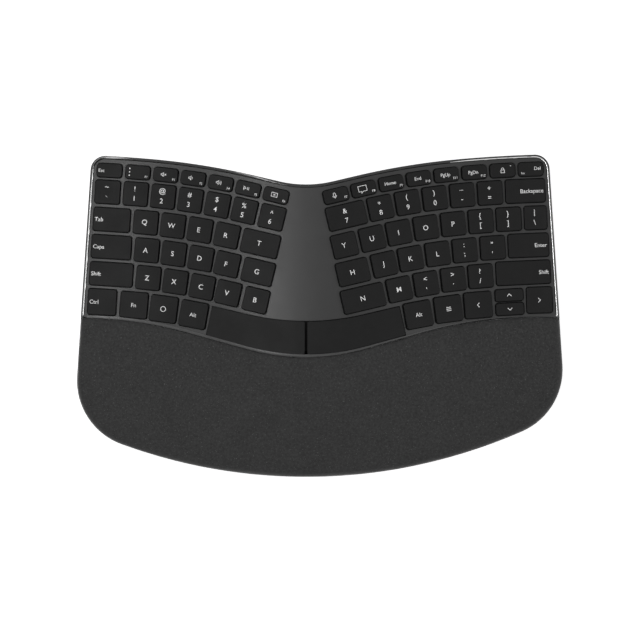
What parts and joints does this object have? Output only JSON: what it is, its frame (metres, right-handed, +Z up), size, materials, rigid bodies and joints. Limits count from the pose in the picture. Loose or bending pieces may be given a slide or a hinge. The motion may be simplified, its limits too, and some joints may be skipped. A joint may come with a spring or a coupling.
{
  "type": "ergonomic keyboard",
  "caption": "Split, domed wireless keyboard with curved key rows, a divided space bar and a padded fabric palm rest that wraps its front and sides.",
  "frame": {"origin": "middle of the bounding box in plan, on the surface that the rubber feet stand on", "axes": "+X to the right along the key rows, +Y away from the typist, +Z up"},
  "size_m": [0.3296, 0.2185, 0.0393],
  "materials": {
    "keycap_plastic": "satin",
    "deck_plastic": "fine texture",
    "rim_plastic": "polished bead",
    "pad_fabric": "heathered weave",
    "case_plastic": "moulded grain",
    "base_plastic": "moulded",
    "plate_steel": "rolled",
    "membrane_film": "film",
    "dome_rubber": "matte",
    "scissor_plastic": "moulded",
    "wire_steel": "drawn",
    "board_laminate": "solder mask",
    "tail_film": "film",
    "cell_jacket": "lacquered",
    "contact_nickel": "plated",
    "foot_rubber": "matte",
    "screw_steel": "blackened",
    "light_lens": "clear",
    "switch_plastic": "moulded"
  },
  "bodies": {
    "case": {"bottom_case": "case_plastic", "rim_frame": "rim_plastic", "key_deck": "deck_plastic", "palm_rest_base": "base_plastic", "palm_rest_pad": "pad_fabric", "key_plate": "plate_steel", "membrane_circuit": "membrane_film", "rubber_domes": "dome_rubber", "scissor_frames": "scissor_plastic", "stabiliser_wires": "wire_steel", "status_lights": "light_lens", "rubber_feet": "foot_rubber", "case_screws": "screw_steel", "batteries": "cell_jacket", "battery_contacts": "contact_nickel", "power_switch": "switch_plastic", "main_board": "board_laminate", "flex_tail": "tail_film"},
    "keys_left_function": {"keys_left_function": "keycap_plastic"},
    "keys_right_function": {"keys_right_function": "keycap_plastic"},
    "keys_left_number": {"keys_left_number": "keycap_plastic"},
    "keys_right_number": {"keys_right_number": "keycap_plastic"},
    "keys_left_top": {"keys_left_top": "keycap_plastic"},
    "keys_right_top": {"keys_right_top": "keycap_plastic"},
    "keys_left_home": {"keys_left_home": "keycap_plastic"},
    "keys_right_home": {"keys_right_home": "keycap_plastic"},
    "keys_left_lower": {"keys_left_lower": "keycap_plastic"},
    "keys_right_lower": {"keys_right_lower": "keycap_plastic"},
    "key_esc": {"key_esc": "keycap_plastic"},
    "key_tab": {"key_tab": "keycap_plastic"},
    "key_caps_lock": {"key_caps_lock": "keycap_plastic"},
    "key_left_shift": {"key_left_shift": "keycap_plastic"},
    "key_left_ctrl": {"key_left_ctrl": "keycap_plastic"},
    "key_fn": {"key_fn": "keycap_plastic"},
    "key_system": {"key_system": "keycap_plastic"},
    "key_left_alt": {"key_left_alt": "keycap_plastic"},
    "key_t": {"key_t": "keycap_plastic"},
    "key_g": {"key_g": "keycap_plastic"},
    "key_7": {"key_7": "keycap_plastic"},
    "key_h": {"key_h": "keycap_plastic"},
    "key_n": {"key_n": "keycap_plastic"},
    "key_right_alt": {"key_right_alt": "keycap_plastic"},
    "key_assistant": {"key_assistant": "keycap_plastic"},
    "key_arrow_left": {"key_arrow_left": "keycap_plastic"},
    "key_arrow_up": {"key_arrow_up": "keycap_plastic"},
    "key_arrow_down": {"key_arrow_down": "keycap_plastic"},
    "key_arrow_right": {"key_arrow_right": "keycap_plastic"},
    "key_right_shift": {"key_right_shift": "keycap_plastic"},
    "key_enter": {"key_enter": "keycap_plastic"},
    "key_backspace": {"key_backspace": "keycap_plastic"},
    "key_delete": {"key_delete": "keycap_plastic"},
    "key_lock": {"key_lock": "keycap_plastic"},
    "left_space_bar": {"left_space_bar": "keycap_plastic"},
    "right_space_bar": {"right_space_bar": "keycap_plastic"},
    "battery_door": {"battery_door": "case_plastic"},
    "tilt_leg_left": {"tilt_leg_left": "case_plastic"},
    "tilt_leg_right": {"tilt_leg_right": "case_plastic"},
    "power_slider": {"power_slider": "switch_plastic"}
  },
  "joints": [
    {"name": "battery_door_hinge", "type": "hinge", "parent": "case", "child": "battery_door", "pos_m": [-0.00935, 0.0535, 0.00245], "axis": [1, 0, 0], "range_deg": [0, 100]},
    {"name": "tilt_leg_left_hinge", "type": "hinge", "parent": "case", "child": "tilt_leg_left", "pos_m": [-0.112, 0.08775, 0.0032], "axis": [1, 0, 0], "range_deg": [0, 80]},
    {"name": "tilt_leg_right_hinge", "type": "hinge", "parent": "case", "child": "tilt_leg_right", "pos_m": [0.112, 0.08775, 0.0032], "axis": [1, 0, 0], "range_deg": [0, 80]},
    {"name": "power_slider_slide", "type": "slide", "parent": "case", "child": "power_slider", "axis": [1, 0, 0], "range_m": [0, 0.004]},
    {"name": "left_space_bar_press", "type": "slide", "parent": "case", "child": "left_space_bar", "axis": [0, 0, -1], "range_m": [0, 0.0015], "stiffness_N_per_m": 400, "deforming": ["rubber_domes", "scissor_frames", "stabiliser_wires"]},
    {"name": "right_space_bar_press", "type": "slide", "parent": "case", "child": "right_space_bar", "axis": [0, 0, -1], "range_m": [0, 0.0015], "stiffness_N_per_m": 400, "deforming": ["rubber_domes", "scissor_frames", "stabiliser_wires"]},
    {"name": "keys_left_function_press", "type": "slide", "parent": "case", "child": "keys_left_function", "axis": [0.1901, -0.0246, -0.9815], "range_m": [0, 0.0015], "stiffness_N_per_m": 2400, "deforming": ["rubber_domes", "scissor_frames"]},
    {"name": "keys_right_function_press", "type": "slide", "parent": "case", "child": "keys_right_function", "axis": [-0.1853, -0.0255, -0.9824], "range_m": [0, 0.0015], "stiffness_N_per_m": 2400, "deforming": ["rubber_domes", "scissor_frames"]},
    {"name": "keys_left_number_press", "type": "slide", "parent": "case", "child": "keys_left_number", "axis": [0.1811, -0.0173, -0.9833], "range_m": [0, 0.0015], "stiffness_N_per_m": 2800, "deforming": ["rubber_domes", "scissor_frames"]},
    {"name": "keys_right_number_press", "type": "slide", "parent": "case", "child": "keys_right_number", "axis": [-0.2043, -0.0158, -0.9788], "range_m": [0, 0.0015], "stiffness_N_per_m": 2000, "deforming": ["rubber_domes", "scissor_frames"]},
    {"name": "keys_left_top_press", "type": "slide", "parent": "case", "child": "keys_left_top", "axis": [0.2303, -0.0129, -0.973], "range_m": [0, 0.0015], "stiffness_N_per_m": 1600, "deforming": ["rubber_domes", "scissor_frames"]},
    {"name": "keys_right_top_press", "type": "slide", "parent": "case", "child": "keys_right_top", "axis": [-0.1612, -0.0114, -0.9869], "range_m": [0, 0.0015], "stiffness_N_per_m": 3200, "deforming": ["rubber_domes", "scissor_frames"]},
    {"name": "keys_left_home_press", "type": "slide", "parent": "case", "child": "keys_left_home", "axis": [0.2352, -0.0091, -0.9719], "range_m": [0, 0.0015], "stiffness_N_per_m": 1600, "deforming": ["rubber_domes", "scissor_frames"]},
    {"name": "keys_right_home_press", "type": "slide", "parent": "case", "child": "keys_right_home", "axis": [-0.2123, -0.0081, -0.9772], "range_m": [0, 0.0015], "stiffness_N_per_m": 2000, "deforming": ["rubber_domes", "scissor_frames"]},
    {"name": "keys_left_lower_press", "type": "slide", "parent": "case", "child": "keys_left_lower", "axis": [0.2257, -0.0054, -0.9742], "range_m": [0, 0.0015], "stiffness_N_per_m": 2000, "deforming": ["rubber_domes", "scissor_frames"]},
    {"name": "keys_right_lower_press", "type": "slide", "parent": "case", "child": "keys_right_lower", "axis": [-0.2251, -0.0046, -0.9743], "range_m": [0, 0.0015], "stiffness_N_per_m": 1600, "deforming": ["rubber_domes", "scissor_frames"]},
    {"name": "key_esc_press", "type": "slide", "parent": "case", "child": "key_esc", "axis": [0.0857, -0.0016, -0.9963], "range_m": [0, 0.0015], "stiffness_N_per_m": 400, "deforming": ["rubber_domes", "scissor_frames"]},
    {"name": "key_tab_press", "type": "slide", "parent": "case", "child": "key_tab", "axis": [0.0981, -0.0012, -0.9952], "range_m": [0, 0.0015], "stiffness_N_per_m": 400, "deforming": ["rubber_domes", "scissor_frames"]},
    {"name": "key_caps_lock_press", "type": "slide", "parent": "case", "child": "key_caps_lock", "axis": [0.0989, -0.0009, -0.9951], "range_m": [0, 0.0015], "stiffness_N_per_m": 400, "deforming": ["rubber_domes", "scissor_frames"]},
    {"name": "key_left_shift_press", "type": "slide", "parent": "case", "child": "key_left_shift", "axis": [0.1, -0.0006, -0.995], "range_m": [0, 0.0015], "stiffness_N_per_m": 400, "deforming": ["rubber_domes", "scissor_frames", "stabiliser_wires"]},
    {"name": "key_left_ctrl_press", "type": "slide", "parent": "case", "child": "key_left_ctrl", "axis": [0.0675, -0.0001, -0.9977], "range_m": [0, 0.0015], "stiffness_N_per_m": 400, "deforming": ["rubber_domes", "scissor_frames"]},
    {"name": "key_fn_press", "type": "slide", "parent": "case", "child": "key_fn", "axis": [0.1735, -0.0007, -0.9848], "range_m": [0, 0.0015], "stiffness_N_per_m": 400, "deforming": ["rubber_domes", "scissor_frames"]},
    {"name": "key_system_press", "type": "slide", "parent": "case", "child": "key_system", "axis": [0.2388, -0.0013, -0.9711], "range_m": [0, 0.0015], "stiffness_N_per_m": 400, "deforming": ["rubber_domes", "scissor_frames"]},
    {"name": "key_left_alt_press", "type": "slide", "parent": "case", "child": "key_left_alt", "axis": [0.2626, -0.0013, -0.9649], "range_m": [0, 0.0015], "stiffness_N_per_m": 400, "deforming": ["rubber_domes", "scissor_frames"]},
    {"name": "key_t_press", "type": "slide", "parent": "case", "child": "key_t", "axis": [0.1567, -0.0228, -0.9874], "range_m": [0, 0.0015], "stiffness_N_per_m": 400, "deforming": ["rubber_domes", "scissor_frames"]},
    {"name": "key_g_press", "type": "slide", "parent": "case", "child": "key_g", "axis": [0.1658, -0.0145, -0.986], "range_m": [0, 0.0015], "stiffness_N_per_m": 400, "deforming": ["rubber_domes", "scissor_frames"]},
    {"name": "key_7_press", "type": "slide", "parent": "case", "child": "key_7", "axis": [-0.1305, -0.0317, -0.9909], "range_m": [0, 0.0015], "stiffness_N_per_m": 400, "deforming": ["rubber_domes", "scissor_frames"]},
    {"name": "key_h_press", "type": "slide", "parent": "case", "child": "key_h", "axis": [-0.1544, -0.0146, -0.9879], "range_m": [0, 0.0015], "stiffness_N_per_m": 400, "deforming": ["rubber_domes", "scissor_frames"]},
    {"name": "key_n_press", "type": "slide", "parent": "case", "child": "key_n", "axis": [-0.1825, -0.0067, -0.9832], "range_m": [0, 0.0015], "stiffness_N_per_m": 400, "deforming": ["rubber_domes", "scissor_frames", "stabiliser_wires"]},
    {"name": "key_right_alt_press", "type": "slide", "parent": "case", "child": "key_right_alt", "axis": [-0.2546, -0.0014, -0.9671], "range_m": [0, 0.0015], "stiffness_N_per_m": 400, "deforming": ["rubber_domes", "scissor_frames"]},
    {"name": "key_assistant_press", "type": "slide", "parent": "case", "child": "key_assistant", "axis": [-0.2377, -0.0014, -0.9713], "range_m": [0, 0.0015], "stiffness_N_per_m": 400, "deforming": ["rubber_domes", "scissor_frames"]},
    {"name": "key_arrow_left_press", "type": "slide", "parent": "case", "child": "key_arrow_left", "axis": [-0.1824, -0.0008, -0.9832], "range_m": [0, 0.0015], "stiffness_N_per_m": 400, "deforming": ["rubber_domes", "scissor_frames"]},
    {"name": "key_arrow_up_press", "type": "slide", "parent": "case", "child": "key_arrow_up", "axis": [-0.0894, -0.0002, -0.996], "range_m": [0, 0.0015], "stiffness_N_per_m": 400, "deforming": ["rubber_domes", "scissor_frames"]},
    {"name": "key_arrow_down_press", "type": "slide", "parent": "case", "child": "key_arrow_down", "axis": [-0.0894, -0.0002, -0.996], "range_m": [0, 0.0015], "stiffness_N_per_m": 400, "deforming": ["rubber_domes", "scissor_frames"]},
    {"name": "key_arrow_right_press", "type": "slide", "parent": "case", "child": "key_arrow_right", "axis": [0, 0, -1], "range_m": [0, 0.0015], "stiffness_N_per_m": 400, "deforming": ["rubber_domes", "scissor_frames"]},
    {"name": "key_right_shift_press", "type": "slide", "parent": "case", "child": "key_right_shift", "axis": [-0.0413, -0.0001, -0.9991], "range_m": [0, 0.0015], "stiffness_N_per_m": 400, "deforming": ["rubber_domes", "scissor_frames", "stabiliser_wires"]},
    {"name": "key_enter_press", "type": "slide", "parent": "case", "child": "key_enter", "axis": [-0.0227, 0, -0.9997], "range_m": [0, 0.0015], "stiffness_N_per_m": 400, "deforming": ["rubber_domes", "scissor_frames"]},
    {"name": "key_backspace_press", "type": "slide", "parent": "case", "child": "key_backspace", "axis": [-0.032, -0.0002, -0.9995], "range_m": [0, 0.0015], "stiffness_N_per_m": 400, "deforming": ["rubber_domes", "scissor_frames"]},
    {"name": "key_delete_press", "type": "slide", "parent": "case", "child": "key_delete", "axis": [-0.0135, 0, -0.9999], "range_m": [0, 0.0015], "stiffness_N_per_m": 400, "deforming": ["rubber_domes", "scissor_frames"]},
    {"name": "key_lock_press", "type": "slide", "parent": "case", "child": "key_lock", "axis": [-0.1019, -0.0024, -0.9948], "range_m": [0, 0.0015], "stiffness_N_per_m": 400, "deforming": ["rubber_domes", "scissor_frames"]}
  ]
}
